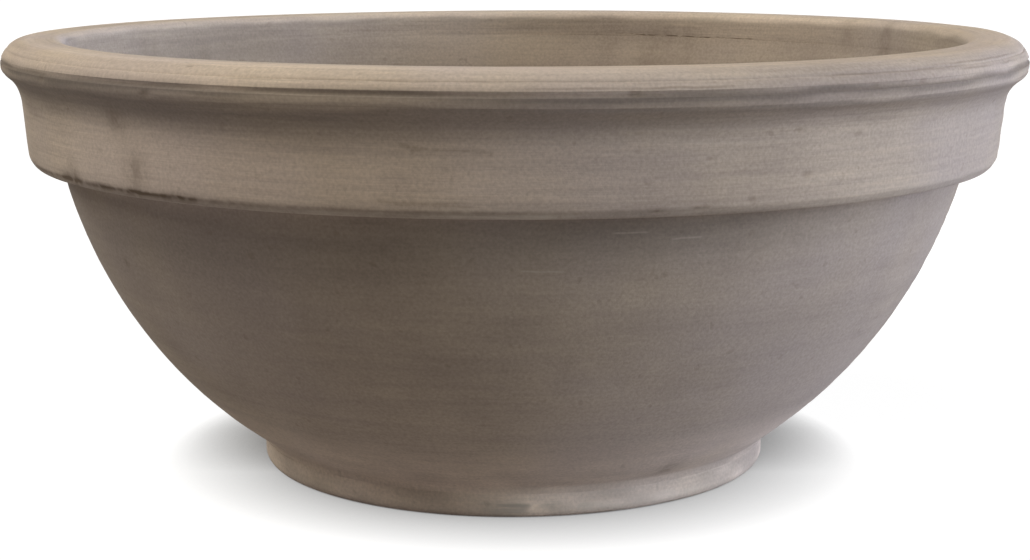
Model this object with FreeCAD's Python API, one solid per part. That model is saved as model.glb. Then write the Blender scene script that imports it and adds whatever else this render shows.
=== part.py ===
import FreeCAD, Part
import math
import os

# Low bowl planter in unglazed clay, all of it turned about Z, with Z up and the ground at Z 0.
# It is five clay members, each formed by itself and luted to the next one: foot ring, floor slab,
# bowl wall, rim band and rim lip. Lengths are in millimetres.

# Whole pot
LIP_OUTER_DIAMETER = 420.0
OVERALL_HEIGHT = 180.0

# Foot ring: the stepped foot that the pot stands on
FOOT_DIAMETER = 214.0
FOOT_HEIGHT = 10.0
FOOT_RING_WIDTH = 28.0
FOOT_OUTER_EDGE_RADIUS = 3.5
FOOT_INNER_EDGE_RADIUS = 2.0

# Floor slab: plugs the foot ring, stands clear of the ground and carries the drain hole
UNDERSIDE_RECESS = 4.0
FLOOR_THICKNESS = 13.0
DRAIN_DIAMETER = 26.0
DRAIN_EDGE_RADIUS = 1.5

# Bowl wall: one round sweep from the foot up to the ledge, then straight up behind the band
WALL_THICKNESS = 11.5
WALL_SWEEP_RADIUS = 193.5
FOOT_COVE_RADIUS = 4.0
FLOOR_FILLET_RADIUS = 18.0

# Rim band: the collar round the top of the wall, widest at its top, with a ledge below it
BAND_HEIGHT = 38.0
BAND_BATTER = 3.0
BAND_TOP_THICKNESS = 5.0
LEDGE_WIDTH = 12.6
BAND_EDGE_HEIGHT = 3.0
BAND_EDGE_SETBACK = 1.6
BAND_EDGE_RADIUS = 1.0
CAVETTO_RADIUS = 16.0

# Rim lip: the rolled moulding that caps wall and band, with a groove and a scribed line round it
LIP_OVERHANG = 6.9
LIP_ROLL_RADIUS = 9.8
LIP_UNDERCUT_RADIUS = 5.5
LIP_SEAT_DROP = 2.2
LIP_CREST_WIDTH = 11.0
LIP_INNER_EDGE_RADIUS = 4.5
LIP_INNER_FLARE = 1.0
LIP_GROOVE_DROP = 7.5
LIP_GROOVE_WIDTH = 2.2
LIP_GROOVE_DEPTH = 0.8
LIP_SCRIBE_RISE = 4.6
LIP_SCRIBE_WIDTH = 1.2
LIP_SCRIBE_DEPTH = 0.4


# Section drawing: a point is (radius, height)

def along(point, direction, length):
    return (point[0] + direction[0] * length, point[1] + direction[1] * length)


def heading(start, end):
    """Unit direction from one point to another."""
    distance = math.dist(start, end)
    return ((end[0] - start[0]) / distance, (end[1] - start[1]) / distance)


def corner_reach(half_angle, radius):
    """How far a rounding of this radius runs along each side of a corner."""
    return radius / math.tan(half_angle)


def centre_left_of(first, first_distance, second, second_distance):
    """The point at both distances, on the left of the way from the first point to the second."""
    span = math.dist(first, second)
    forward = heading(first, second)
    ahead = (first_distance**2 - second_distance**2 + span**2) / (2 * span)
    aside = math.sqrt(first_distance**2 - ahead**2)
    return along(along(first, forward, ahead), (-forward[1], forward[0]), aside)


def centre_at_height(height, inner_point, distance):
    """The point at a height that lies outward of another point, at a distance from it."""
    return (inner_point[0] + math.sqrt(distance**2 - (height - inner_point[1]) ** 2), height)


class Outline:
    """A closed half section, drawn edge by edge and then turned about Z."""

    def __init__(self, start):
        self.start = start
        self.at = start
        self.edges = []

    def line(self, to):
        self.edges.append(Part.LineSegment(self.placed(self.at), self.placed(to)).toShape())
        self.at = to
        return self

    def arc_over(self, middle, to):
        self.edges.append(Part.Arc(self.placed(self.at), self.placed(middle), self.placed(to)).toShape())
        self.at = to
        return self

    def arc_about(self, centre, to):
        """The shorter way round a centre."""
        half_way = ((self.at[0] + to[0]) / 2, (self.at[1] + to[1]) / 2)
        return self.arc_over(along(centre, heading(centre, half_way), math.dist(centre, to)), to)

    def rounded(self, corner, after, radius):
        """A line to a corner, which is rounded off towards the point after it."""
        back = heading(corner, self.at)
        onward = heading(corner, after)
        half_angle = math.acos(back[0] * onward[0] + back[1] * onward[1]) / 2
        bisector = heading((0, 0), (back[0] + onward[0], back[1] + onward[1]))
        centre = along(corner, bisector, radius / math.sin(half_angle))
        reach = corner_reach(half_angle, radius)
        return self.line(along(corner, back, reach)).arc_about(centre, along(corner, onward, reach))

    def turned(self):
        self.line(self.start)
        section = Part.Face(Part.Wire(self.edges))
        return section.revolve(FreeCAD.Vector(), FreeCAD.Vector(0, 0, 1), 360)

    @staticmethod
    def placed(point):
        return FreeCAD.Vector(point[0], 0, point[1])


# Radii and heights that neighbouring members share
foot_radius = FOOT_DIAMETER / 2
foot_inner_radius = foot_radius - FOOT_RING_WIDTH
drain_radius = DRAIN_DIAMETER / 2
floor_top = UNDERSIDE_RECESS + FLOOR_THICKNESS
lip_radius = LIP_OUTER_DIAMETER / 2
lip_height = LIP_ROLL_RADIUS + LIP_SEAT_DROP
lip_seat = OVERALL_HEIGHT - lip_height
band_top_radius = lip_radius - LIP_OVERHANG
band_low_radius = band_top_radius - BAND_BATTER
ledge_height = lip_seat - BAND_HEIGHT

# Wall: its outer sweep ends at the ledge and rolls off the cove above the foot
ledge = (band_low_radius - LEDGE_WIDTH, ledge_height)
cove_centre = (foot_radius + FOOT_COVE_RADIUS, FOOT_HEIGHT)
sweep_centre = centre_left_of(cove_centre, WALL_SWEEP_RADIUS + FOOT_COVE_RADIUS, ledge, WALL_SWEEP_RADIUS)
inner_sweep_radius = WALL_SWEEP_RADIUS - WALL_THICKNESS
fillet_centre = centre_at_height(
    floor_top + FLOOR_FILLET_RADIUS, sweep_centre, inner_sweep_radius - FLOOR_FILLET_RADIUS
)
floor_edge_radius = fillet_centre[0]

# Lip: a big roll outside, a tighter undercut below it and a small rounding inside
roll_centre = (lip_radius - LIP_ROLL_RADIUS, OVERALL_HEIGHT - LIP_ROLL_RADIUS)
undercut_centre = (lip_radius - LIP_UNDERCUT_RADIUS, roll_centre[1])
lip_corner = centre_at_height(lip_seat, undercut_centre, LIP_UNDERCUT_RADIUS)
inner_half_angle = (math.pi / 2 + math.atan2(LIP_INNER_FLARE, lip_height)) / 2
crest_end = (roll_centre[0] - LIP_CREST_WIDTH, OVERALL_HEIGHT)
inner_corner = (crest_end[0] - corner_reach(inner_half_angle, LIP_INNER_EDGE_RADIUS), OVERALL_HEIGHT)

# Where lip, wall and band meet on the lip's flat seat
wall_top_inner = (inner_corner[0] - LIP_INNER_FLARE, lip_seat)
wall_top_outer = (band_top_radius - BAND_TOP_THICKNESS, lip_seat)


def foot_ring():
    """A flat ring with a well rounded outer edge, on which wall and floor stand."""
    inner_top = (foot_inner_radius, FOOT_HEIGHT)
    inner_toe = (foot_inner_radius, 0)
    outer_toe = (foot_radius, 0)
    outer_top = (foot_radius, FOOT_HEIGHT)
    ring = Outline(inner_top)
    ring.rounded(inner_toe, outer_toe, FOOT_INNER_EDGE_RADIUS)
    ring.rounded(outer_toe, outer_top, FOOT_OUTER_EDGE_RADIUS)
    ring.line(outer_top)
    return ring.turned()


def floor_slab():
    """A disc that drops into the foot ring and rests on it with its flange."""
    slab = Outline((drain_radius, UNDERSIDE_RECESS))
    slab.line((foot_inner_radius, UNDERSIDE_RECESS))
    slab.line((foot_inner_radius, FOOT_HEIGHT))
    slab.line((floor_edge_radius, FOOT_HEIGHT))
    slab.line((floor_edge_radius, floor_top))
    slab.rounded((drain_radius, floor_top), slab.start, DRAIN_EDGE_RADIUS)
    return slab.turned()


def bowl_wall():
    """The round shell: cove and sweep outside, a parallel sweep and a floor fillet inside."""
    sweep_start = along(sweep_centre, heading(sweep_centre, cove_centre), WALL_SWEEP_RADIUS)
    inner_end = along(sweep_centre, heading(sweep_centre, ledge), inner_sweep_radius)
    inner_start = along(sweep_centre, heading(sweep_centre, fillet_centre), inner_sweep_radius)
    wall = Outline((floor_edge_radius, FOOT_HEIGHT))
    wall.line((foot_radius, FOOT_HEIGHT))
    wall.arc_about(cove_centre, sweep_start)
    wall.arc_about(sweep_centre, ledge)
    wall.line(wall_top_outer)
    wall.line(wall_top_inner)
    wall.line(inner_end)
    wall.arc_about(sweep_centre, inner_start)
    wall.arc_about(fillet_centre, (floor_edge_radius, floor_top))
    return wall.turned()


def rim_band():
    """The collar: bevelled lower edge, leaning face and the hollow cavetto under the lip."""
    face_low = (band_low_radius, ledge_height + BAND_EDGE_HEIGHT)
    up = heading(face_low, (band_top_radius, lip_seat))
    outward = (up[1], -up[0])
    undercut_out = (undercut_centre[0] - face_low[0]) * outward[0]
    undercut_out += (undercut_centre[1] - face_low[1]) * outward[1]
    undercut_up = (undercut_centre[0] - face_low[0]) * up[0]
    undercut_up += (undercut_centre[1] - face_low[1]) * up[1]
    centres_apart = LIP_UNDERCUT_RADIUS + CAVETTO_RADIUS
    drop = math.sqrt(centres_apart**2 - (CAVETTO_RADIUS - undercut_out) ** 2)
    face_top = along(face_low, up, undercut_up - drop)
    cavetto_centre = along(face_top, outward, CAVETTO_RADIUS)
    cavetto_end = along(undercut_centre, heading(undercut_centre, cavetto_centre), LIP_UNDERCUT_RADIUS)

    band = Outline(ledge)
    band.rounded((band_low_radius - BAND_EDGE_SETBACK, ledge_height), face_low, BAND_EDGE_RADIUS)
    band.line(face_low)
    band.line(face_top)
    band.arc_about(cavetto_centre, cavetto_end)
    band.arc_about(undercut_centre, lip_corner)
    band.line(wall_top_outer)
    return band.turned()


def on_roll(angle, depth=0):
    """A point of the lip's roll, at an angle above the level of its centre."""
    return along(roll_centre, (math.cos(angle), math.sin(angle)), LIP_ROLL_RADIUS - depth)


def rolled_to_cut(outline, angle, width, depth):
    """Along the roll to a cut line at an angle, then through the hollow of that line."""
    half_width = math.asin(width / 2 / LIP_ROLL_RADIUS)
    outline.arc_about(roll_centre, on_roll(angle - half_width))
    outline.arc_over(on_roll(angle, depth), on_roll(angle + half_width))


def rim_lip():
    """The moulding: undercut, roll with its groove and scribed line, crest and inner rounding."""
    groove_angle = math.asin((LIP_ROLL_RADIUS - LIP_GROOVE_DROP) / LIP_ROLL_RADIUS)
    scribe_angle = groove_angle + LIP_SCRIBE_RISE / LIP_ROLL_RADIUS
    lip = Outline(wall_top_inner)
    lip.line(lip_corner)
    lip.arc_about(undercut_centre, on_roll(0))
    rolled_to_cut(lip, groove_angle, LIP_GROOVE_WIDTH, LIP_GROOVE_DEPTH)
    rolled_to_cut(lip, scribe_angle, LIP_SCRIBE_WIDTH, LIP_SCRIBE_DEPTH)
    lip.arc_about(roll_centre, on_roll(math.pi / 2))
    lip.rounded(inner_corner, wall_top_inner, LIP_INNER_EDGE_RADIUS)
    return lip.turned()


os.makedirs("parts", exist_ok=True)
for member in (foot_ring, floor_slab, bowl_wall, rim_band, rim_lip):
    member().exportStep(f"parts/{member.__name__}.step")
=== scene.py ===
import math
from collections import namedtuple
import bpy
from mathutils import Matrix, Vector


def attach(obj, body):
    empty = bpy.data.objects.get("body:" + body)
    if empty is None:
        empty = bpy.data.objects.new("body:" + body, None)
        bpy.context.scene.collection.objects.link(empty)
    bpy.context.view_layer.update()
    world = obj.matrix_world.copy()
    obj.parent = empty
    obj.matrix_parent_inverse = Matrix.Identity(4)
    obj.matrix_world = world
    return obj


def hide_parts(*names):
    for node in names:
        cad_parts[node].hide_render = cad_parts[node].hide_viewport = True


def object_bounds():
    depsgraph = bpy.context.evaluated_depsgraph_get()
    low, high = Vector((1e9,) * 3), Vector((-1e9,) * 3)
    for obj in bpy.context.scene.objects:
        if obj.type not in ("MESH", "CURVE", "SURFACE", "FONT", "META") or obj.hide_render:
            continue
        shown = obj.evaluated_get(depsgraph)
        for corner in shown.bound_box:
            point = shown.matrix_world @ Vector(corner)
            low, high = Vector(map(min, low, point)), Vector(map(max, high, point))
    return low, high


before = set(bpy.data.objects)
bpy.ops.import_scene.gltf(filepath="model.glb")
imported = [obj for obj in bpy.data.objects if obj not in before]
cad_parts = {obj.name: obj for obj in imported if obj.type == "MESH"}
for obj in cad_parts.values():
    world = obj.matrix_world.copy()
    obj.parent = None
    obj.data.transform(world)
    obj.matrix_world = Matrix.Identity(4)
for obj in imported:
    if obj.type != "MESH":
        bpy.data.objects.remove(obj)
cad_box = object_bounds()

from types import SimpleNamespace

import bpy
import numpy as np
from mathutils import Vector

# Low bowl planter in unglazed clay. Each clay member of the frame is turned again as a fine mesh from its
# own section, with eased edges, handwork and marks, and gets a procedural clay finish.
# Lengths are in metres. Places round the pot are shares of a turn from +X towards +Y: the right is at 0,
# the front at -0.25, the left at 0.5 and the back at 0.25. Heights of marks are shares of the pot's height.

POT_HEIGHT = cad_box[1].z
RIGHT_TURN_SHARE = 0.0
LEFT_TURN_SHARE = 0.5

# Camera
CAMERA_DISTANCE = 0.86
CAMERA_HEIGHT = 0.2332
CAMERA_ASIDE = 0.0002
CAMERA_REACH = 100.0
CAMERA_PITCH_DEGREES = 10.506
LENS_MM = 71.35
SENSOR_MM = 36.0

# Reading the sections
SEAM_TOLERANCE = 1e-6
POINT_DIGITS = 7
CONTACT_TOLERANCE = 5e-5
CORNER_DEGREES = 15.0
HIDDEN_STEP = 0.006
OUTLINE_STEP = 0.0003
OVERHANG_SHARE = 0.02

# Meshes: steps along the sections, sharp edges and the margin of the baked picture
FOOT_STEP = 0.0009
FLOOR_STEP = 0.003
WALL_STEP = 0.0025
BAND_STEP = 0.0007
LIP_STEP = 0.0008
SHARP_DEGREES = 35
BAKE_MARGIN_SHARE = 0.01

# Random patterns: cells round the pot, height of a cell, seed
Pattern = namedtuple("Pattern", "cells_round cell seed")
BROAD_CELL = 0.06
RIPPLE_CELL = 0.02
STRIATION_CELL = 0.0024
MOTTLE_CELL = 0.0045
WOBBLE_PATTERN = Pattern(5, BROAD_CELL, 11)
RIPPLE_PATTERN = Pattern(17, RIPPLE_CELL, 12)
EASE_PATTERN = Pattern(23, BROAD_CELL, 21)
STRIATION_PATTERN = Pattern(26, STRIATION_CELL, 41)
UNEVEN_PATTERN = Pattern(31, BROAD_CELL, 51)
STRAY_PATTERN = Pattern(61, BROAD_CELL, 52)
MOTTLE_PATTERN = Pattern(58, MOTTLE_CELL, 53)

# Easing of the edges: fine all over and most on the left, broad on the band's lower edge, crisp on the right
FINE_REACH = 0.0006
FINE_EASE_SHARE = 0.25
FINE_EASE_SWING_SHARE = 0.25
LEFT_EASE_SHARE = 0.4
LEFT_EASE_POWER = 6
BROAD_REACH = 0.0045
BAND_EASE_SHARE = 0.25
BAND_EASE_HEIGHT_SHARE = 0.735
BAND_EASE_HEIGHT = 0.012
RIGHT_CRISP_SHARE = 0.7

# The groove of the lip is partly filled on the left, and less on the right
GROOVE_FILL = 0.0007
GROOVE_FILL_HEIGHT_SHARE = 0.9583
GROOVE_FILL_HEIGHT = 0.0011
GROOVE_FILL_RIGHT_SHARE = 0.6
GROOVE_FILL_POWER = 4

# Handwork: how far the pot strays from a true turned form, and its lean at each height share
WOBBLE = 0.0005
RIPPLE = 0.00025
BACK_DIP = 0.0018
BACK_DIP_TURN_SHARE = 0.27
LEFT_DIP = 0.0007
LEFT_DIP_TURN_SHARE = 0.46
DIP_POWER = 3
LIP_SAG = 0.0009
LIP_SAG_HEIGHT_SHARE = 0.945
LIP_SAG_HEIGHT = 0.007
LEAN = 0.001
LEAN_SHARES = (
    (0.00, -0.4),
    (0.06, -0.6),
    (0.14, -1.3),
    (0.68, -0.6),
    (0.76, -0.5),
    (0.88, -0.3),
    (0.92, 0.6),
    (0.94, 0.1),
    (0.97, 0.2),
)
STRIATION_DEPTH = 0.00022
STRIATION_LEAST_SHARE = 0.3
STRIATION_TURN_SHARE = -0.04

# Dirt in the groove of the lip, painted shade on the band's lower edge, and dirt with a painted contact
# shadow on the lower edge of the foot
HOLLOW_REACH = 0.003
HOLLOW_FULL = 0.0006
GROOVE_LOW_SHARE = 0.945
GROOVE_DIRT_SHARE = 0.9
GROOVE_DIRT_GAIN = 2
GROOVE_DIRT_START_SHARE = 0.4
GROOVE_DIRT_LEAST_SHARE = 0.35
GROOVE_DIRT_EVEN_SHARE = 0.5
GROOVE_DIRT_TURN_SHARE = -0.34
DARK_LINE_HEIGHT = 0.0009
BAND_LINE_HEIGHT_SHARE = 0.736
BAND_LINE_SHADE_SHARE = 0.9
BAND_LINE_TURN_SHARE = -0.39
BAND_LINE_POWER = 2
FOOT_LINE_DIRT_AND_SHADOW_SHARE = 0.4
FOOT_SIDE_SHARE = 0.3

# Wear of the edges below the lip, and wear with a painted highlight on the lip's inner edge
EDGE_WEAR_AND_HIGHLIGHT_SHARE = 0.30
WORN_BELOW_SHARE = 0.92
INNER_EDGE_REACH = 0.009

# How pale the clay is at each height share, outside and inside: partly the clay's own tone and partly
# painted light and shade
# Outside: painted shade in the cove under the lip, in the groove of the lip, on the band's lower edge and
# just under the band; painted light on the foot and the lower wall, which are partly paler clay, and on the
# lip's top
OUTSIDE_PALE_AND_SHADING_SHARES = (
    (0.000, 1.96),
    (0.058, 1.96),
    (0.075, 1.82),
    (0.140, 1.58),
    (0.220, 1.15),
    (0.500, 1.00),
    (0.620, 0.94),
    (0.690, 0.84),
    (0.706, 0.84),
    (0.714, 0.96),
    (0.735, 0.96),
    (0.742, 1.20),
    (0.835, 1.20),
    (0.860, 1.14),
    (0.885, 0.98),
    (0.905, 0.82),
    (0.931, 0.76),
    (0.934, 1.04),
    (0.939, 1.00),
    (0.945, 0.84),
    (0.950, 0.55),
    (0.9575, 0.58),
    (0.9605, 0.95),
    (0.966, 1.27),
    (0.995, 1.30),
    (1.000, 1.55),
)
# Inside: a painted highlight on the lip's inner edge
INSIDE_PALE_AND_HIGHLIGHT_SHARES = (
    (0.000, 1.00),
    (0.900, 1.08),
    (0.930, 1.04),
    (0.940, 1.10),
    (0.983, 1.06),
    (0.989, 1.48),
    (0.9998, 1.66),
    (1.000, 1.60),
)
PALE_AND_SHADING_REACH = 0.0004
PALE_AND_SHADING_STRAY = 0.0012
MOTTLE_SHARE = 0.22
MOTTLE_HEIGHT = 0.030

# Kinds of marks: length round the pot, height and depth
MARK_SIZES = {
    "pit": (0.0015, 0.0008, 0.0004),
    "chip": (0.0080, 0.0018, 0.0005),
    "dent": (0.0120, 0.0060, 0.0004),
    "smudge": (0.0055, 0.0065, 0.0),
    "run": (0.0050, 0.0140, 0.0),
    "rub": (0.0140, 0.0012, 0.0),
    "light_patch": (0.0700, 0.0110, 0.0),
    "shade": (0.0700, 0.0110, 0.0),
    "bead_shade": (0.0900, 0.0040, 0.0),
    "bead_light_patch": (0.0700, 0.0025, 0.0),
    "foot_shade": (0.0500, 0.0140, 0.0),
    "worn_foot": (0.0500, 0.0080, 0.0003),
}

# Kinds of marks: what they add to dirt, wear and paleness. The kinds that only make the clay paler or darker
# are painted light and shade in places, partly the clay's own tone
MARK_EFFECT_SHARES = {
    "pit": (0.30, 0.0, 0.0),
    "chip": (0.55, 0.0, 0.0),
    "dent": (0.03, 0.0, 0.0),
    "smudge": (0.38, 0.0, 0.0),
    "run": (0.18, 0.0, 0.0),
    "rub": (0.0, 0.30, 0.0),
    "light_patch": (0.0, 0.0, 0.18),
    "shade": (0.0, 0.0, -0.14),
    "bead_shade": (0.0, 0.0, -0.24),
    "bead_light_patch": (0.0, 0.0, 0.09),
    "foot_shade": (0.0, 0.0, -0.16),
    "worn_foot": (0.0, 0.35, 0.16),
}
MARK_FADE_SHARE = 3

# Places of marks: turn share, height share, share of the size of the kind
OUTSIDE_MARK_SHARES = {
    "pit": (
        (-0.221, 0.958, 1.2),
        (-0.132, 0.960, 1.0),
        (-0.151, 0.957, 1.0),
        (-0.140, 0.960, 0.8),
        (-0.402, 0.950, 1.4),
        (-0.352, 0.940, 1.6),
        (-0.340, 0.996, 1.2),
        (-0.185, 0.750, 1.0),
        (-0.168, 0.790, 1.2),
        (-0.172, 0.876, 1.1),
        (-0.151, 0.860, 1.0),
    ),
    "chip": (
        (-0.402, 0.737, 1.2),
        (-0.382, 0.732, 1.0),
        (-0.367, 0.733, 0.9),
        (-0.349, 0.731, 1.1),
        (-0.212, 0.736, 0.3),
        (-0.200, 0.741, 0.3),
    ),
    "smudge": (
        (-0.371, 0.880, 1.0),
        (-0.365, 0.780, 1.1),
        (-0.400, 0.748, 0.9),
    ),
    "rub": (
        (-0.305, 0.727, 1.2),
        (-0.275, 0.727, 1.6),
        (-0.245, 0.727, 1.4),
        (-0.2575, 0.962, 0.4),
    ),
    # Paler patches: painted light in places, partly paler clay
    "light_patch": (
        (-0.350, 0.790, 1.0),
        (-0.300, 0.780, 1.0),
        (-0.265, 0.790, 0.6),
        (-0.410, 0.800, 1.2),
        (-0.400, 0.985, 1.1),
        (-0.470, 0.985, 1.0),
        (-0.485, 0.935, 0.7),
        (-0.070, 0.935, 0.6),
        (-0.340, 0.985, 1.1),
        (-0.290, 0.985, 1.0),
        (-0.130, 0.900, 0.8),
        (-0.170, 0.900, 0.6),
        (-0.420, 0.690, 1.1),
        (-0.345, 0.865, 0.9),
        (-0.390, 0.870, 0.7),
        (-0.260, 0.860, 0.6),
        (-0.360, 0.690, 0.8),
        (-0.300, 0.690, 0.7),
        (-0.020, 0.985, 0.9),
        (-0.100, 0.600, 2.0),
        (-0.285, 0.060, 0.7),
    ),
    "shade": (
        (-0.400, 0.910, 0.9),
        (-0.340, 0.905, 0.6),
        (-0.370, 0.945, 0.6),
        (-0.235, 0.690, 1.0),
        (-0.200, 0.690, 0.8),
        (-0.160, 0.985, 0.6),
        (-0.360, 0.620, 1.0),
    ),
    "bead_shade": (
        (-0.410, 0.945, 0.8),
        (-0.200, 0.945, 0.4),
    ),
    # Paler patches on the bead: painted light
    "bead_light_patch": (
        (-0.180, 0.949, 0.8),
        (-0.140, 0.949, 1.0),
        (-0.095, 0.949, 1.0),
        (-0.040, 0.949, 1.2),
        (0.010, 0.949, 1.2),
    ),
    "foot_shade": (
        (-0.410, 0.040, 0.9),
        (-0.190, 0.050, 0.6),
        (-0.135, 0.050, 1.0),
        (-0.090, 0.050, 1.0),
        (-0.040, 0.050, 1.0),
    ),
    "worn_foot": (
        (-0.260, 0.030, 0.7),
        (-0.220, 0.020, 0.7),
        (-0.150, 0.020, 0.5),
    ),
}
INSIDE_MARK_SHARES = {
    "run": (
        (0.208, 0.890, 1.0),
        (0.190, 0.870, 1.2),
        (0.172, 0.887, 1.0),
        (0.090, 0.970, 0.8),
        (0.065, 0.972, 0.8),
        (0.067, 0.928, 1.0),
    ),
    # Paler patches inside: painted light on the back of the inside, partly paler clay
    "light_patch": (
        (0.310, 0.930, 1.2),
        (0.250, 0.930, 1.1),
        (0.250, 0.850, 1.0),
        (0.190, 0.860, 1.0),
        (0.160, 0.965, 0.8),
        (0.110, 0.965, 0.8),
    ),
    "shade": (
        (0.410, 0.930, 1.3),
        (0.360, 0.930, 1.0),
    ),
}

# Scattered marks: kind, whether inside, how many, lowest and highest height share, seed
SCATTER_SHARES = (
    ("pit", False, 24, 0.73, 0.99, 31),
    ("pit", False, 10, 0.02, 0.73, 32),
    ("dent", False, 50, 0.05, 0.98, 34),
    ("smudge", False, 5, 0.10, 0.60, 35),
    ("run", True, 40, 0.40, 0.97, 36),
    ("pit", True, 12, 0.30, 0.99, 37),
    ("rub", False, 16, 0.02, 0.05, 38),
)
SCATTER_SIZE_SHARES = (0.35, 1.0)

# Thin lines in the finish: turn shares of their ends, height shares of their ends
SCRATCH_SHARES = (
    (-0.222, -0.210, 0.685, 0.685),
    (-0.204, -0.193, 0.670, 0.671),
    (-0.249, -0.234, 0.612, 0.611),
)
SMEAR_SHARES = (
    (-0.281, -0.271, 0.866, 0.849),
    (-0.273, -0.260, 0.849, 0.854),
    (-0.262, -0.255, 0.854, 0.846),
    (-0.288, -0.271, 0.757, 0.752),
    (-0.273, -0.260, 0.752, 0.750),
)
LIP_LINE_SHARES = (
    (-0.130, -0.055, 0.986, 0.985),
    (-0.118, -0.040, 0.974, 0.973),
    (-0.170, -0.105, 0.979, 0.980),
    (-0.330, -0.262, 0.978, 0.979),
    (-0.268, -0.195, 0.9785, 0.9785),
    (-0.255, -0.190, 0.968, 0.969),
)
CRACK_SHARES = (
    (0.137, 0.170, 0.938, 0.936),
    (0.166, 0.206, 0.936, 0.940),
)
SCRATCH_WIDTH = 0.0006
SMEAR_WIDTH = 0.0018
LIP_LINE_WIDTH = 0.0008
CRACK_WIDTH = 0.0006
LINE_WANDER = 0.0012
LINE_WANDER_CELL = 0.012
LINE_FULL_SHARE = 0.7

# Clay finish: the sizes of its patterns
PATCH_CELL = 0.055
MAUVE_CELL = 0.095
BLOTCH_CELL = 0.016
BROAD_STREAK_CELL = 0.080
FINE_STREAK_CELL = 0.030
STREAK_STRETCH = 13
LINE_CELL = 0.055
LINE_STRETCH = 42
GRAIN_CELL = 0.0012
SPECK_CELL = 0.0042
NOISE_MIDDLE_SHARE = 0.5

# Shares of the patches, broad streaks, fine streaks and lines in the tone of each clay
BODY_PATTERN_SHARES = (0.36, 0.20, 0.14, 0.08)
RIM_PATTERN_SHARES = (0.26, 0.24, 0.26, 0.24)
FOOT_PATTERN_SHARES = (0.50, 0.15, 0.20, 0.10)

# What a pattern does: from its first to its second share, the effect goes from the third to the fourth
MAUVE_SHARES = (0.42, 0.68, 0.0, 0.6)
GRAIN_SHARES = (0.30, 0.70, 0.90, 1.10)
WEAR_STREAK_SHARES = (0.35, 0.65, 0.4, 1.0)
WEAR_BLOTCH_SHARES = (0.38, 0.60, 0.4, 1.4)
DIRT_AND_SHADE_SPECK_SHARES = (0.35, 0.60, 0.5, 1.1)
DARK_SPECK_SHARES = (0.68, 0.78, 0.0, 0.16)
SMEAR_STREAK_SHARES = (0.40, 0.60, 0.03, 0.28)
LIP_LINE_STREAK_SHARES = (0.35, 0.60, 0.05, 0.35)
CRACK_SPECK_SHARES = (0.40, 0.60, 0.05, 0.6)
ROUGHNESS_SHARES = (0.30, 0.70, 0.97, 0.84)
MOST_DIRT_AND_SHADE_SHARE = 0.9
SCRATCH_COVER_SHARE = 0.28

# Relief of the finish: its depth, and what each pattern adds to it
RELIEF = 0.0003
RELIEF_STRENGTH_SHARE = 0.7
GRAIN_RELIEF_SHARE = 0.25
STREAK_RELIEF_SHARE = 0.5
LINE_RELIEF_SHARE = 2
SPECK_RELIEF_SHARE = 0.6
SPECULAR_SHARE = 0.25

# Clay colours: where each tone lies on the mix of patterns, and the tone
TONES = (
    (0.28, (0.240, 0.199, 0.174)),
    (0.45, (0.332, 0.281, 0.243)),
    (0.57, (0.392, 0.333, 0.281)),
    (0.74, (0.490, 0.408, 0.325)),
)
MAUVE = (0.352, 0.305, 0.292)
DIRT_AND_SHADE = (0.125, 0.088, 0.060)
WEAR_AND_HIGHLIGHT = (0.545, 0.490, 0.435)

# Studio lights: name, degrees round to the camera's right, degrees up, radiance on a facing white surface
LIGHTS = (
    ("right", 90, 0, (1.38, 1.50, 1.82)),
    ("front", 60, 20, (0.21, 0.22, 0.19)),
    ("left", -90, 45, (0.68, 0.65, 0.57)),
    ("top", 0, 60, (0.22, 0.185, 0.15)),
)
LIGHT_DISC_DEGREES = 40

# Floor: how the camera sees it, how it lights the pot, and its shadow from front to back
FLOOR_HALF = 12.0
FLOOR_SEEN = (0.15, 0.15, 0.15)
FLOOR_SEEN_GLOW = (0.95, 0.95, 0.95)
FLOOR_BOUNCE = (0.30, 0.28, 0.26)
FLOOR_GLOW = (0.075, 0.066, 0.068)
SHADOW = (0, 0, 0)
SHADOW_REACH = 0.035
SHADOW_DEPTHS = (-0.04, 0.03)
SHADOW_POWERS = (0.5, 1.4)
SHADOW_SAMPLES = 16

# Sockets of Blender's Mix node for a mix of colours: share, first colour, second colour, and the result
MIX_INPUTS = (0, 6, 7)
MIX_RESULT = 2


# Sections, read from the frame

def seam_links(mesh):
    """Which points of a node's section follow each other on the seam of its mesh, at y 0 and x above 0."""
    flat = np.empty(3 * len(mesh.vertices), np.float32)
    mesh.vertices.foreach_get("co", flat)
    places = flat.reshape(-1, 3).astype(float)
    on_seam = (np.abs(places[:, 1]) < SEAM_TOLERANCE) & (places[:, 0] > 0)
    points = {
        index: tuple(np.round(places[index, [0, 2]], POINT_DIGITS)) for index in np.flatnonzero(on_seam)
    }
    links = {point: set() for point in points.values()}
    for edge in mesh.edges:
        start, end = (points.get(index) for index in edge.vertices)
        if start and end and start != end:
            links[start].add(end)
            links[end].add(start)
    return links


def close_level_faces(links):
    """Level faces have no seam of their own, so their two ends are joined here."""
    ends_at = {}
    for point, others in links.items():
        if len(others) == 1:
            ends_at.setdefault(point[1], []).append(point)
    for first, second in ends_at.values():
        links[first].add(second)
        links[second].add(first)


def section_of(node):
    """A node's section as a closed ring of (radius, height) points, counter-clockwise."""
    links = seam_links(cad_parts[node].data)
    close_level_faces(links)
    start = min(links)
    ring = [start]
    previous, at = None, start
    while True:
        previous, at = at, next(point for point in sorted(links[at]) if point != previous)
        if at == start:
            break
        ring.append(at)
    ring = np.array(ring)
    after = np.roll(ring, -1, axis=0)
    area = np.sum(ring[:, 0] * after[:, 1] - after[:, 0] * ring[:, 1])
    return ring if area > 0 else ring[::-1]


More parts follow.
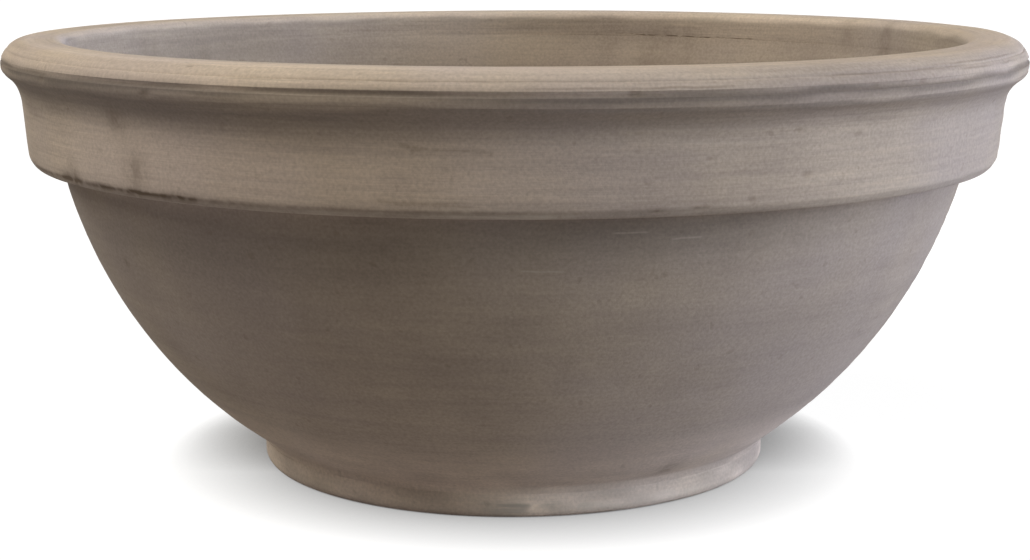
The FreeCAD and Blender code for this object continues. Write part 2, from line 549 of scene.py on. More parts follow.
def distance_to_ring(point, ring):
    """Shortest distance from a point to a closed ring of points."""
    after = np.roll(ring, -1, axis=0)
    along = after - ring
    share = np.sum((point - ring) * along, axis=1) / np.sum(along * along, axis=1)
    nearest = ring + along * np.clip(share, 0, 1)[:, None]
    return np.min(np.linalg.norm(point - nearest, axis=1))


def hidden_edges(node):
    """Which edges of a node's section lie against another member."""
    ring = SECTIONS[node]
    others = [SECTIONS[other] for other in SECTIONS if other != node]
    middles = (ring + np.roll(ring, -1, axis=0)) / 2
    return np.array(
        [any(distance_to_ring(middle, other) < CONTACT_TOLERANCE for other in others) for middle in middles]
    )


def smooth_run(points, step):
    """A run of points redrawn as one smooth curve with even steps, its last point left out."""
    lengths = np.linalg.norm(np.diff(points, axis=0), axis=1)
    at = np.concatenate([[0], np.cumsum(lengths)])
    slopes = np.diff(points, axis=0) / lengths[:, None]
    tangents = np.empty_like(points)
    tangents[1:-1] = (points[2:] - points[:-2]) / (lengths[:-1] + lengths[1:])[:, None]
    tangents[0] = slopes[0]
    tangents[-1] = slopes[-1]
    if len(points) > 2:
        tangents[0] = 2 * slopes[0] - tangents[1]
        tangents[-1] = 2 * slopes[-1] - tangents[-2]
    count = max(1, math.ceil(at[-1] / step))
    wanted = np.arange(count) * at[-1] / count
    span = np.clip(np.searchsorted(at, wanted, side="right") - 1, 0, len(lengths) - 1)
    length = lengths[span][:, None]
    share = (wanted - at[span])[:, None] / length
    return (
        (1 + 2 * share) * (1 - share) ** 2 * points[span]
        + share * (1 - share) ** 2 * length * tangents[span]
        + share**2 * (3 - 2 * share) * points[span + 1]
        + share**2 * (share - 1) * length * tangents[span + 1]
    )


def fine_section(node, step):
    """The node's section redrawn with fine even steps where it shows and coarse ones where it is hidden."""
    ring = SECTIONS[node]
    hidden = HIDDEN[node]
    along = np.roll(ring, -1, axis=0) - ring
    bearing = np.arctan2(along[:, 1], along[:, 0])
    turn = np.abs((bearing - np.roll(bearing, 1) + math.pi) % (2 * math.pi) - math.pi)
    breaks = np.flatnonzero((turn > math.radians(CORNER_DEGREES)) | (hidden != np.roll(hidden, 1)))
    points = []
    for start, end in zip(breaks, np.roll(breaks, -1)):
        count = (end - start) % len(ring)
        run = ring[(start + np.arange(count + 1)) % len(ring)]
        points.append(smooth_run(run, HIDDEN_STEP if hidden[start] else step))
    return np.concatenate(points)


SECTIONS = {node: section_of(node) for node in sorted(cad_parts)}
HIDDEN = {node: hidden_edges(node) for node in SECTIONS}


# The outline of the whole pot

def visible_runs(node):
    """The stretches of a node's section that show, each as points in order."""
    ring = SECTIONS[node]
    hidden = HIDDEN[node]
    runs = []
    for start in np.flatnonzero(~hidden & np.roll(hidden, 1)):
        count = 1
        while not hidden[(start + count) % len(ring)]:
            count += 1
        runs.append(ring[(start + np.arange(count + 1)) % len(ring)])
    return runs


def pot_outline():
    """One closed run round the pot's section: from under the foot up outside, over the lip, down inside."""
    runs = [run for node in SECTIONS for run in visible_runs(node)]
    runs.sort(key=lambda run: run[:, 1].min())
    chain = runs.pop(0)
    while runs:
        gaps = [np.linalg.norm(run[0] - chain[-1]) for run in runs]
        chain = np.concatenate([chain, runs.pop(int(np.argmin(gaps)))])
    loop = np.concatenate([chain, chain[:1]])
    at = np.concatenate([[0], np.cumsum(np.linalg.norm(np.diff(loop, axis=0), axis=1))])
    count = round(at[-1] / OUTLINE_STEP)
    along = np.arange(count) * at[-1] / count
    return along, np.column_stack([np.interp(along, at, column) for column in loop.T])


def softened(values, reach):
    """Values along the closed outline, eased over the given reach."""
    waves = np.fft.rfftfreq(len(values), OUTLINE_STEP)
    kept = np.exp(-2 * (math.pi * waves * reach) ** 2)
    return np.fft.irfft(np.fft.rfft(values, axis=0) * kept[:, None], len(values), axis=0)


def directions(points):
    """Unit vectors along a closed run of points."""
    along = np.roll(points, -1, axis=0) - np.roll(points, 1, axis=0)
    return along / np.linalg.norm(along, axis=1, keepdims=True)


def paleness_and_shading():
    """How pale the clay is along the outline, painted light and shade included."""
    share_up = OUTLINE[:, 1] / POT_HEIGHT
    outside = np.interp(share_up, *zip(*OUTSIDE_PALE_AND_SHADING_SHARES))
    inside = np.interp(share_up, *zip(*INSIDE_PALE_AND_HIGHLIGHT_SHARES))
    return softened(np.where(np.arange(len(OUTLINE)) < CREST, outside, inside)[:, None], PALE_AND_SHADING_REACH)[:, 0]


ALONG, OUTLINE = pot_outline()
CREST = int(np.argmax(OUTLINE[:, 1]))
PALENESS_AND_SHADING = paleness_and_shading()
FINE_SHIFT = softened(OUTLINE, FINE_REACH) - OUTLINE
BROAD_SHIFT = softened(OUTLINE, BROAD_REACH) - OUTLINE
TANGENT = directions(OUTLINE + FINE_SHIFT)
OUTWARD = np.column_stack([TANGENT[:, 1], -TANGENT[:, 0]])
HOLLOW = np.sum((softened(OUTLINE, HOLLOW_REACH) - OUTLINE) * OUTWARD, axis=1)


def outline_index(height_share, inside):
    """The point of the outline at a height, on the outside of the pot or inside it."""
    miss = np.abs(OUTLINE[:, 1] - height_share * POT_HEIGHT)
    if inside:
        return CREST + int(np.argmin(miss[CREST:]))
    # Where several points lie at one height, the outermost counts
    overhang = OVERHANG_SHARE * (OUTLINE[:, 0].max() - OUTLINE[:, 0])
    return int(np.argmin((miss + overhang)[:CREST]))


# The skin of a clay member: the points of its section, their places on the outline, and the turns

Skin = namedtuple("Skin", "section level nearest shows outside along turns")


def skin_of(node, step, segments):
    """The skin of a node, at even steps along its section and round the pot."""
    section = fine_section(node, step)
    off = np.linalg.norm(section[:, None] - OUTLINE[None], axis=2)
    nearest = np.argmin(off, axis=1)
    along = ALONG[nearest] + np.sum((section - OUTLINE[nearest]) * TANGENT[nearest], axis=1)
    return Skin(
        section=section,
        level=section[:, 1],
        nearest=nearest,
        shows=off.min(axis=1) < OUTLINE_STEP,
        outside=nearest < CREST,
        along=np.broadcast_to(along, (segments, len(section))),
        turns=(np.arange(segments) / segments)[:, None],
    )


# Handwork

def clay_noise(turns, level, pattern):
    """Smooth random values from -1 to 1 over the surface, which close up round the pot."""
    rows = 2 + math.ceil(np.max(level) / pattern.cell)
    grid = np.random.default_rng(pattern.seed).uniform(-1, 1, (pattern.cells_round, rows + 1))
    across = turns % 1 * pattern.cells_round
    up = np.clip(level / pattern.cell, 0, rows - 1)
    column = np.floor(across).astype(int)
    row = np.floor(up).astype(int)
    ease_across = across - column
    ease_across = ease_across**2 * (3 - 2 * ease_across)
    ease_up = up - row
    ease_up = ease_up**2 * (3 - 2 * ease_up)
    column %= pattern.cells_round
    beside = (column + 1) % pattern.cells_round
    low = grid[column, row] * (1 - ease_across) + grid[beside, row] * ease_across
    high = grid[column, row + 1] * (1 - ease_across) + grid[beside, row + 1] * ease_across
    return low * (1 - ease_up) + high * ease_up


def clay_shares(turns, level, pattern):
    """Smooth random shares from 0 to 1 over the surface."""
    return (1 + clay_noise(turns, level, pattern)) / 2


def bell(value, middle, reach):
    """1 at the middle, falling towards 0 beyond the reach."""
    return np.exp(-(((value - middle) / reach) ** 2))


def facing(turns, towards):
    """How far a place round the pot faces a turn share: 1 there, 0 from a quarter turn away."""
    return np.clip(np.cos(2 * math.pi * (turns - towards)), 0, 1)


def strongest(turns, towards, least):
    """1 at a turn share, falling to the least share from a quarter turn away."""
    return least + (1 - least) * facing(turns, towards)


def turns_apart(turns, other):
    """Shares of a turn from another place, the shorter way round."""
    return (turns - other + 0.5) % 1 - 0.5


def handwork(radius, turns, level):
    """Where a point of the true turned form lies on the hand-made pot: a little inward, lower and aside."""
    share_up = level / POT_HEIGHT
    inward = WOBBLE * clay_shares(turns, level, WOBBLE_PATTERN)
    inward = inward + RIPPLE * clay_shares(turns, level, RIPPLE_PATTERN)
    dip = BACK_DIP * facing(turns, BACK_DIP_TURN_SHARE) + LEFT_DIP * facing(turns, LEFT_DIP_TURN_SHARE)
    sag = LIP_SAG * bell(level, LIP_SAG_HEIGHT_SHARE * POT_HEIGHT, LIP_SAG_HEIGHT)
    down = dip * share_up**DIP_POWER + sag * facing(turns, RIGHT_TURN_SHARE)
    aside = LEAN * np.interp(share_up, *zip(*LEAN_SHARES))
    angle = 2 * math.pi * turns
    x = (radius - inward) * np.cos(angle) + aside
    y = (radius - inward) * np.sin(angle)
    return np.stack([x, y, np.clip(level - down, 0, POT_HEIGHT)], axis=-1)


def ease_shares(skin):
    """How far the edges are eased, finely and broadly."""
    fine = FINE_EASE_SHARE + FINE_EASE_SWING_SHARE * clay_noise(skin.turns, skin.along, EASE_PATTERN)
    fine = fine + LEFT_EASE_SHARE * facing(skin.turns, LEFT_TURN_SHARE) ** LEFT_EASE_POWER
    band = BAND_EASE_SHARE * bell(skin.level, BAND_EASE_HEIGHT_SHARE * POT_HEIGHT, BAND_EASE_HEIGHT)
    return fine, band * (1 - RIGHT_CRISP_SHARE * facing(skin.turns, RIGHT_TURN_SHARE))


def groove_fill(skin):
    """How far the clay in the groove of the lip stands out."""
    fill = GROOVE_FILL * bell(skin.level, GROOVE_FILL_HEIGHT_SHARE * POT_HEIGHT, GROOVE_FILL_HEIGHT)
    left = facing(skin.turns, LEFT_TURN_SHARE) ** GROOVE_FILL_POWER
    right = facing(skin.turns, RIGHT_TURN_SHARE) ** GROOVE_FILL_POWER
    return fill * skin.outside * (left + GROOVE_FILL_RIGHT_SHARE * right)


def striations(skin):
    """The depth of the level lines left by wiping and throwing, strongest towards the right."""
    lines = clay_shares(skin.turns, skin.along, STRIATION_PATTERN)
    return STRIATION_DEPTH * strongest(skin.turns, STRIATION_TURN_SHARE, STRIATION_LEAST_SHARE) * lines


def worked_places(skin, mark_depth):
    """Where the points of a skin lie on the pot: eased, marked and worked by hand."""
    fine, broad = ease_shares(skin)
    outward = OUTWARD[skin.nearest]
    shift = fine[..., None] * FINE_SHIFT[skin.nearest] + broad[..., None] * BROAD_SHIFT[skin.nearest]
    shift = shift + groove_fill(skin)[..., None] * outward
    depth = mark_depth + striations(skin)
    points = skin.section + (shift - depth[..., None] * outward) * skin.shows[:, None]
    return handwork(points[..., 0], skin.turns, points[..., 1])


# Marks

def scattered(count, low_share, high_share, seed):
    """Seeded random marks all round the pot between two heights."""
    draw = np.random.default_rng(seed)
    turn_shares = draw.uniform(-0.5, 0.5, count)
    height_shares = draw.uniform(low_share, high_share, count)
    return np.column_stack([turn_shares, height_shares, draw.uniform(*SCATTER_SIZE_SHARES, count)])


def all_marks():
    """Every mark: its kind, whether it is inside, and its turn, height and size shares."""
    marks = []
    for inside, table in ((False, OUTSIDE_MARK_SHARES), (True, INSIDE_MARK_SHARES)):
        for kind, rows in table.items():
            marks += [(kind, inside, row) for row in rows]
    for kind, inside, count, low_share, high_share, seed in SCATTER_SHARES:
        marks += [(kind, inside, row) for row in scattered(count, low_share, high_share, seed)]
    return marks


MARKS = all_marks()


def marks_on(skin):
    """What the marks do at each point: their depth, dirt, wear and paleness, where the paleness is partly
    painted light and shade.
    """
    totals = np.zeros((4, *skin.along.shape))
    for kind, inside, (turn_share, height_share, size_share) in MARKS:
        length, height, depth = (size_share * size for size in MARK_SIZES[kind])
        middle = OUTLINE[outline_index(height_share, inside)]
        up_off = np.linalg.norm(skin.section - middle, axis=1) / height
        around = turns_apart(skin.turns[:, 0], turn_share) * 2 * math.pi * middle[0] / length
        columns = np.flatnonzero(np.abs(around) < MARK_FADE_SHARE)
        rows = np.flatnonzero(up_off < MARK_FADE_SHARE)
        if len(rows) == 0:
            continue
        weight = np.exp(-(around[columns, None] ** 2) - up_off[None, rows] ** 2)
        spot = np.ix_(columns, rows)
        for total, effect in zip(totals, (depth, *MARK_EFFECT_SHARES[kind])):
            total[spot] += effect * weight
    return totals


def dirt_and_shade_on(skin, uneven):
    """Shares of dirt in the groove of the lip, of painted shade on the band's lower edge, and of dirt with a
    painted contact shadow on the foot's lower edge.
    """
    above = skin.level > GROOVE_LOW_SHARE * POT_HEIGHT
    hollow = GROOVE_DIRT_GAIN * HOLLOW[skin.nearest] / HOLLOW_FULL - GROOVE_DIRT_START_SHARE
    groove = GROOVE_DIRT_SHARE * np.clip(hollow, 0, 1) * above * (GROOVE_DIRT_EVEN_SHARE + uneven)
    groove = groove * strongest(skin.turns, GROOVE_DIRT_TURN_SHARE, GROOVE_DIRT_LEAST_SHARE)
    # Painted shade along the band's lower edge
    band = bell(skin.level, BAND_LINE_HEIGHT_SHARE * POT_HEIGHT, DARK_LINE_HEIGHT) * skin.outside
    band = BAND_LINE_SHADE_SHARE * band * facing(skin.turns, BAND_LINE_TURN_SHARE) ** BAND_LINE_POWER * uneven
    # Dirt with a painted contact shadow along the foot's lower edge
    foot = FOOT_LINE_DIRT_AND_SHADOW_SHARE * bell(skin.level, 0, DARK_LINE_HEIGHT)
    return groove + band + foot * (OUTWARD[skin.nearest, 0] > FOOT_SIDE_SHARE)


def wear_and_highlight_on(skin, uneven):
    """Shares of wear on the edges below the lip, and of wear with a painted highlight on its inner edge."""
    edge = np.clip(-HOLLOW[skin.nearest] / HOLLOW_FULL, 0, 1)
    # The lip's inner edge: wear with a painted highlight
    inner_edge = np.clip((OUTLINE[CREST, 0] - skin.section[:, 0]) / INNER_EDGE_REACH, 0, 1)
    worn = (skin.level < WORN_BELOW_SHARE * POT_HEIGHT) + inner_edge * (skin.nearest > CREST)
    return EDGE_WEAR_AND_HIGHLIGHT_SHARE * edge * uneven * worn


def paleness_and_shading_on(skin):
    """How pale the clay is at each point, painted light and shade included: its place on the outline strays,
    and the foot is mottled.
    """
    stray = PALE_AND_SHADING_STRAY * clay_noise(skin.turns, skin.along, STRAY_PATTERN)
    mottle = MOTTLE_SHARE * clay_noise(skin.turns, skin.along, MOTTLE_PATTERN)
    mottle = mottle * np.clip(1 - skin.level / MOTTLE_HEIGHT, 0, 1)
    return np.interp(skin.along + stray, ALONG, PALENESS_AND_SHADING) * (1 + mottle)


# Meshes

def grid_faces(segments, count):
    """Corner columns and rows of the faces of a closed grid."""
    column = np.repeat(np.arange(segments), count)
    row = np.tile(np.arange(count), segments)
    columns = np.column_stack([column, column + 1, column + 1, column])
    rows = np.column_stack([row, row, row + 1, row + 1])
    return columns, rows


def grid_mesh(name, places):
    """A closed mesh of four-sided faces over a grid of places."""
    segments, count = places.shape[:2]
    columns, rows = grid_faces(segments, count)
    corners = columns % segments * count + rows % count
    faces, sides = corners.shape
    mesh = bpy.data.meshes.new(name)
    mesh.vertices.add(segments * count)
    mesh.vertices.foreach_set("co", places.astype(np.float32).ravel())
    mesh.loops.add(corners.size)
    mesh.loops.foreach_set("vertex_index", corners.astype(np.int32).ravel())
    mesh.polygons.add(faces)
    mesh.polygons.foreach_set("loop_start", np.arange(0, corners.size, sides, dtype=np.int32))
    mesh.polygons.foreach_set("loop_total", np.full(faces, sides, dtype=np.int32))
    mesh.update(calc_edges=True)
    mesh.polygons.foreach_set("use_smooth", np.ones(faces, dtype=bool))
    mesh.set_sharp_from_angle(angle=math.radians(SHARP_DEGREES))
    return mesh


def give_values(mesh, name, values):
    """A value at each point of a mesh, for the materials to read."""
    layer = mesh.attributes.new(name, "FLOAT", "POINT")
    layer.data.foreach_set("value", np.ascontiguousarray(values, np.float32).ravel())


def lay_out(mesh, section, segments, strips):
    """Picture places for the corners: the turn is cut in strips that are stacked above each other."""
    columns, rows = grid_faces(segments, len(section))
    lengths = np.linalg.norm(np.roll(section, -1, axis=0) - section, axis=1)
    at = np.concatenate([[0], np.cumsum(lengths)]) / lengths.sum()
    strip = columns[:, :1] * strips // segments
    across = columns * strips / segments - strip
    used_share = 1 - 2 * BAKE_MARGIN_SHARE
    u = BAKE_MARGIN_SHARE + used_share * across
    v = (strip + BAKE_MARGIN_SHARE + used_share * at[rows]) / strips
    picture = mesh.uv_layers.new(name="OFBake")
    picture.data.foreach_set("uv", np.stack([u, v], axis=-1).astype(np.float32).ravel())


def turned(name, node, step, segments, strips):
    """A clay member as a closed grid mesh: its fine section, eased, marked and carried round the axis."""
    skin = skin_of(node, step, segments)
    depth, dirt_and_shade, wear_and_highlight, pale_and_shading = marks_on(skin)
    mesh = grid_mesh(name, worked_places(skin, depth))
    uneven = clay_shares(skin.turns, skin.along, UNEVEN_PATTERN)
    give_values(mesh, "along", skin.along)
    give_values(mesh, "dirt_and_shade", dirt_and_shade + dirt_and_shade_on(skin, uneven))
    give_values(mesh, "wear_and_highlight", wear_and_highlight + wear_and_highlight_on(skin, uneven))
    give_values(mesh, "pale_and_shading", paleness_and_shading_on(skin) * (1 + pale_and_shading))
    lay_out(mesh, skin.section, segments, strips)
    piece = bpy.data.objects.new(name, mesh)
    bpy.context.scene.collection.objects.link(piece)
    return piece


# Shader nodes

def add_node(tree, kind, inputs=None, **settings):
    """A node with its settings made and its inputs linked or set."""
    made = tree.nodes.new(kind)
    for name, value in settings.items():
        setattr(made, name, value)
    for name, value in (inputs or {}).items():
        if isinstance(value, bpy.types.NodeSocket):
            tree.links.new(value, made.inputs[name])
        else:
            made.inputs[name].default_value = value
    return made


def calc(tree, operation, *values):
    """The result of a maths operation on values."""
    inputs = dict(enumerate(values))
    return add_node(tree, "ShaderNodeMath", inputs, operation=operation).outputs[0]


def ranged(tree, value, low, high, to_low=0, to_high=1, smooth=True):
    """A value carried from one range to another, eased at its ends or straight."""
    kind = "SMOOTHSTEP" if smooth else "LINEAR"
    inputs = dict(enumerate((value, low, high, to_low, to_high)))
    return add_node(tree, "ShaderNodeMapRange", inputs, interpolation_type=kind).outputs[0]


def noise(tree, place, cell, detail=2.0, roughness=0.55):
    """Random shares over the surface, in cells of a size."""
    inputs = {"Vector": place, "Scale": 1 / cell, "Detail": detail, "Roughness": roughness}
    return add_node(tree, "ShaderNodeTexNoise", inputs).outputs[0]


def opaque(colour):
    """A plain colour with full cover, or a linked colour as it is."""
    return (*colour, 1) if isinstance(colour, tuple) else colour


def mixed(tree, share, first, second):
    """Two colours mixed, with a share of the second."""
    inputs = dict(zip(MIX_INPUTS, (share, opaque(first), opaque(second))))
    return add_node(tree, "ShaderNodeMix", inputs, data_type="RGBA").outputs[MIX_RESULT]


def scaled(tree, colour, factor):
    """A colour made brighter or darker by a factor."""
    inputs = {"Vector": colour, "Scale": factor}
    return add_node(tree, "ShaderNodeVectorMath", inputs, operation="SCALE").outputs[0]


def attribute(tree, name):
    """A value that the points of the mesh carry."""
    return add_node(tree, "ShaderNodeAttribute", attribute_name=name).outputs["Fac"]


# Clay

def level_place(tree, split, along, stretch):
    """A place whose height runs along the section and counts many times, for level streaks."""
    up = calc(tree, "MULTIPLY", along, stretch)
    return add_node(tree, "ShaderNodeCombineXYZ", {0: split[0], 1: split[1], 2: up}).outputs[0]


def clay_patterns(tree):
    """The places and patterns that every clay finish is mixed from."""
    place = add_node(tree, "ShaderNodeTexCoord").outputs["Object"]
    split = add_node(tree, "ShaderNodeSeparateXYZ", {0: place}).outputs
    along = attribute(tree, "along")
    streaked = level_place(tree, split, along, STREAK_STRETCH)
    lined = level_place(tree, split, along, LINE_STRETCH)
    swing = calc(tree, "SUBTRACT", noise(tree, place, LINE_WANDER_CELL, detail=1.0), NOISE_MIDDLE_SHARE)
    specks = noise(tree, place, SPECK_CELL, detail=1.0)
    return SimpleNamespace(
        along=along,
        turn=calc(tree, "DIVIDE", calc(tree, "ARCTAN2", split[1], split[0]), 2 * math.pi),
        wander=calc(tree, "MULTIPLY", swing, LINE_WANDER),
        patches=noise(tree, place, PATCH_CELL, detail=4.0, roughness=0.6),
        broad=noise(tree, streaked, BROAD_STREAK_CELL, detail=3.0),
        fine=noise(tree, streaked, FINE_STREAK_CELL, detail=4.0, roughness=0.65),
        lines=noise(tree, lined, LINE_CELL),
        grain=noise(tree, place, GRAIN_CELL),
        specks=specks,
        dark_specks=ranged(tree, specks, *DARK_SPECK_SHARES),
        mauve=noise(tree, place, MAUVE_CELL),
        blotches=noise(tree, place, BLOTCH_CELL, detail=3.0, roughness=0.6),
    )


def clean_colour(tree, patterns, shares):
    """The colour of clean clay: patterns mixed by their shares and laid on the tones, with mauve patches,
    then made paler or darker by the paleness the points carry, which holds painted light and shade too.
    """
    tone = (1 - sum(shares)) / 2
    for pattern, share in zip((patterns.patches, patterns.broad, patterns.fine, patterns.lines), shares):
        tone = calc(tree, "MULTIPLY_ADD", pattern, share, tone)
    ramp = add_node(tree, "ShaderNodeValToRGB", {0: tone})
    stops = ramp.color_ramp.elements
    while len(stops) < len(TONES):
        stops.new(1.0)
    for stop, (at, colour) in zip(stops, TONES):
        stop.position = at
        stop.color = opaque(colour)
    colour = mixed(tree, ranged(tree, patterns.mauve, *MAUVE_SHARES), ramp.outputs[0], MAUVE)
    # Paler or darker by the paleness the points carry, painted light and shade included
    colour = scaled(tree, colour, attribute(tree, "pale_and_shading"))
    return scaled(tree, colour, ranged(tree, patterns.grain, *GRAIN_SHARES, smooth=False))


def weathered(tree, patterns, colour):
    """Clay with rubbed edges and a painted highlight on the lip's inner edge, dirty hollows, painted shade
    on the band's lower edge, dirt with a painted contact shadow on the foot's lower edge, and dark specks.
    """
    wear_and_highlight = attribute(tree, "wear_and_highlight")
    dirt_and_shade = attribute(tree, "dirt_and_shade")
    rubbed_and_highlit = calc(tree, "MULTIPLY", wear_and_highlight, ranged(tree, patterns.fine, *WEAR_STREAK_SHARES))
    rubbed_and_highlit = calc(tree, "MULTIPLY", rubbed_and_highlit, ranged(tree, patterns.blotches, *WEAR_BLOTCH_SHARES))
    colour = mixed(tree, rubbed_and_highlit, colour, WEAR_AND_HIGHLIGHT)
    dirt_and_shade_cover = calc(tree, "MULTIPLY", dirt_and_shade, ranged(tree, patterns.specks, *DIRT_AND_SHADE_SPECK_SHARES))
    dirt_and_shade_cover = calc(tree, "MAXIMUM", dirt_and_shade_cover, patterns.dark_specks)
    return mixed(tree, calc(tree, "MINIMUM", dirt_and_shade_cover, MOST_DIRT_AND_SHADE_SHARE), colour, DIRT_AND_SHADE)


def thin_lines(tree, patterns, rows, inside, width):
    """How strongly thin wandering lines cover a point."""
    cover = None
    for start, end, low, high in rows:
        ends = [float(ALONG[outline_index(share, inside)]) for share in (low, high)]
        line = ranged(tree, patterns.turn, start, end, *ends, smooth=False)
        off = calc(tree, "ADD", calc(tree, "SUBTRACT", patterns.along, line), patterns.wander)
        near = ranged(tree, calc(tree, "ABSOLUTE", off), 0, width, 1, 0)
        from_middle = calc(tree, "ABSOLUTE", calc(tree, "SUBTRACT", patterns.turn, (start + end) / 2))
        half = (end - start) / 2
        faded = ranged(tree, from_middle, LINE_FULL_SHARE * half, half, 1, 0)
        strength = calc(tree, "MULTIPLY", near, faded)
        cover = strength if cover is None else calc(tree, "MAXIMUM", cover, strength)
    return cover


def scratched(tree, patterns, colour):
    """Clay with thin pale scratches."""
    cover = thin_lines(tree, patterns, SCRATCH_SHARES, False, SCRATCH_WIDTH)
    return mixed(tree, calc(tree, "MULTIPLY", cover, SCRATCH_COVER_SHARE), colour, WEAR_AND_HIGHLIGHT)


def smeared(tree, patterns, colour):
    """Clay with dark smears on the band."""
    cover = thin_lines(tree, patterns, SMEAR_SHARES, False, SMEAR_WIDTH)
    cover = calc(tree, "MULTIPLY", cover, ranged(tree, patterns.fine, *SMEAR_STREAK_SHARES))
    return mixed(tree, cover, colour, DIRT_AND_SHADE)


def lip_lined(tree, patterns, colour):
    """Clay with thin dark lines on the lip."""
    cover = thin_lines(tree, patterns, LIP_LINE_SHARES, False, LIP_LINE_WIDTH)
    cover = calc(tree, "MULTIPLY", cover, ranged(tree, patterns.fine, *LIP_LINE_STREAK_SHARES))
    return mixed(tree, cover, colour, DIRT_AND_SHADE)


def clay_relief(tree, patterns, line_share, crack):
    """The fine relief of the clay: grain, streaks and lines, less specks and the crack."""
    relief = calc(tree, "MULTIPLY", patterns.grain, GRAIN_RELIEF_SHARE)
    relief = calc(tree, "MULTIPLY_ADD", patterns.fine, STREAK_RELIEF_SHARE, relief)
    relief = calc(tree, "MULTIPLY_ADD", patterns.lines, LINE_RELIEF_SHARE * line_share, relief)
    relief = calc(tree, "SUBTRACT", relief, calc(tree, "MULTIPLY", patterns.dark_specks, SPECK_RELIEF_SHARE))
    return calc(tree, "SUBTRACT", relief, crack)


def clay(name, shares, *details):
    """Unglazed clay: patches, streaks, grain, wear, dirt and a crack inside, with painted light and shade,
    and with any details given.
    """
    material = bpy.data.materials.new(name)
    material.use_nodes = True
    tree = material.node_tree
    shader = tree.nodes["Principled BSDF"]
    patterns = clay_patterns(tree)
    colour = weathered(tree, patterns, clean_colour(tree, patterns, shares))
    for detail in details:
        colour = detail(tree, patterns, colour)
    crack = thin_lines(tree, patterns, CRACK_SHARES, True, CRACK_WIDTH)
    crack = calc(tree, "MULTIPLY", crack, ranged(tree, patterns.specks, *CRACK_SPECK_SHARES))
    relief = clay_relief(tree, patterns, shares[-1], crack)
    bump_inputs = {"Strength": RELIEF_STRENGTH_SHARE, "Distance": RELIEF, "Height": relief}
    bump = add_node(tree, "ShaderNodeBump", bump_inputs)
    tree.links.new(mixed(tree, crack, colour, DIRT_AND_SHADE), shader.inputs["Base Color"])
    tree.links.new(ranged(tree, patterns.patches, *ROUGHNESS_SHARES), shader.inputs["Roughness"])
    tree.links.new(bump.outputs[0], shader.inputs["Normal"])
    shader.inputs["Specular IOR Level"].default_value = SPECULAR_SHARE
    return material


BODY_CLAY = clay("body_clay", BODY_PATTERN_SHARES, scratched)
RIM_CLAY = clay("rim_clay", RIM_PATTERN_SHARES, smeared, lip_lined)
FOOT_CLAY = clay("foot_clay", FOOT_PATTERN_SHARES)


# Pieces

def dress(name, node, material, step, segments, strips):
    """The visible piece of a clay member, which takes the place of its CAD node."""
    piece = turned(name, node, step, segments, strips)
    piece.data.materials.append(material)
    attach(piece, "root")
    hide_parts(node)


dress("foot_ring_clay", "foot_ring", FOOT_CLAY, FOOT_STEP, segments=800, strips=3)
dress("floor_slab_clay", "floor_slab", BODY_CLAY, FLOOR_STEP, segments=400, strips=1)
dress("bowl_wall_clay", "bowl_wall", BODY_CLAY, WALL_STEP, segments=600, strips=2)
dress("rim_band_clay", "rim_band", RIM_CLAY, BAND_STEP, segments=1120, strips=4)
dress("rim_lip_clay", "rim_lip", RIM_CLAY, LIP_STEP, segments=1040, strips=4)


# Floor, light and camera

def floor_material():
    """A white floor with a soft contact shadow for the camera, and a plain grey one that lights the pot."""
    material = bpy.data.materials.new("floor")
    material.use_nodes = True
    tree = material.node_tree
    tree.nodes.clear()
    path = add_node(tree, "ShaderNodeLightPath").outputs
    seen = calc(tree, "MAXIMUM", path["Is Camera Ray"], path["Is Glossy Ray"])
    seen = calc(tree, "MAXIMUM", seen, path["Is Transmission Ray"])
    colour = mixed(tree, seen, FLOOR_BOUNCE, FLOOR_SEEN)
    diffuse = add_node(tree, "ShaderNodeBsdfDiffuse", {"Color": colour}).outputs[0]
    place = add_node(tree, "ShaderNodeTexCoord").outputs["Object"]
    depth = add_node(tree, "ShaderNodeSeparateXYZ", {0: place}).outputs[1]
    power = ranged(tree, depth, *SHADOW_DEPTHS, *SHADOW_POWERS, smooth=False)
    reach = {"Distance": SHADOW_REACH}
    open_share = add_node(tree, "ShaderNodeAmbientOcclusion", reach, samples=SHADOW_SAMPLES).outputs["AO"]
    seen_glow = mixed(tree, calc(tree, "POWER", open_share, power), SHADOW, FLOOR_SEEN_GLOW)
    glow = mixed(tree, seen, FLOOR_GLOW, seen_glow)
    emission = add_node(tree, "ShaderNodeEmission", {"Color": glow}).outputs[0]
    both = add_node(tree, "ShaderNodeAddShader", {0: diffuse, 1: emission}).outputs[0]
    add_node(tree, "ShaderNodeOutputMaterial", {"Surface": both})
    return material


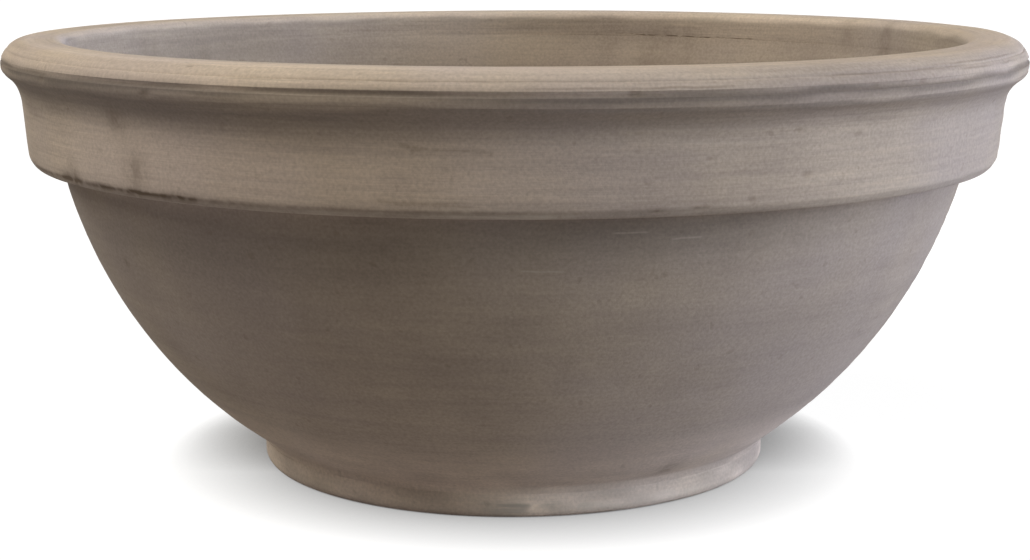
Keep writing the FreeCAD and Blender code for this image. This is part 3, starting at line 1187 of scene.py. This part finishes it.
def make_floor():
    """A wide level floor under the pot."""
    mesh = bpy.data.meshes.new("floor")
    corners = [(-FLOOR_HALF, -FLOOR_HALF, 0), (FLOOR_HALF, -FLOOR_HALF, 0)]
    corners += [(FLOOR_HALF, FLOOR_HALF, 0), (-FLOOR_HALF, FLOOR_HALF, 0)]
    mesh.from_pydata(corners, [], [(0, 1, 2, 3)])
    mesh.materials.append(floor_material())
    floor = bpy.data.objects.new("floor", mesh)
    bpy.context.scene.collection.objects.link(floor)


def sun(name, azimuth_degrees, elevation_degrees, radiance):
    """A broad soft light from a compass direction: 0 from the camera's side, 90 from its right."""
    light = bpy.data.lights.new(name, "SUN")
    light.energy = math.pi * max(radiance)
    light.color = [part / max(radiance) for part in radiance]
    light.angle = math.radians(LIGHT_DISC_DEGREES)
    lamp = bpy.data.objects.new(name, light)
    bpy.context.scene.collection.objects.link(lamp)
    azimuth = math.radians(azimuth_degrees)
    elevation = math.radians(elevation_degrees)
    level = math.cos(elevation)
    towards = Vector((math.sin(azimuth) * level, -math.cos(azimuth) * level, math.sin(elevation)))
    lamp.rotation_euler = towards.to_track_quat("Z", "Y").to_euler()


def make_world():
    """White for the camera and dark for all else, so that only the lamps and the floor light the pot."""
    world = bpy.data.worlds.new("studio")
    bpy.context.scene.world = world
    world.use_nodes = True
    tree = world.node_tree
    background = tree.nodes["Background"]
    background.inputs["Color"].default_value = (1, 1, 1, 1)
    path = add_node(tree, "ShaderNodeLightPath").outputs
    tree.links.new(path["Is Camera Ray"], background.inputs["Strength"])


def make_camera():
    """The camera in front of the pot and a little above it."""
    camera = bpy.data.cameras.new("camera")
    camera.sensor_fit = "HORIZONTAL"
    camera.sensor_width = SENSOR_MM
    camera.lens = LENS_MM
    camera.clip_end = CAMERA_REACH
    holder = bpy.data.objects.new("camera", camera)
    bpy.context.scene.collection.objects.link(holder)
    holder.location = (CAMERA_ASIDE, -CAMERA_DISTANCE, CAMERA_HEIGHT)
    holder.rotation_euler = (math.radians(90 - CAMERA_PITCH_DEGREES), 0, 0)
    bpy.context.scene.camera = holder


make_floor()
make_world()
for light_row in LIGHTS:
    sun(*light_row)
make_camera()
bpy.context.scene.view_settings.view_transform = "Standard"
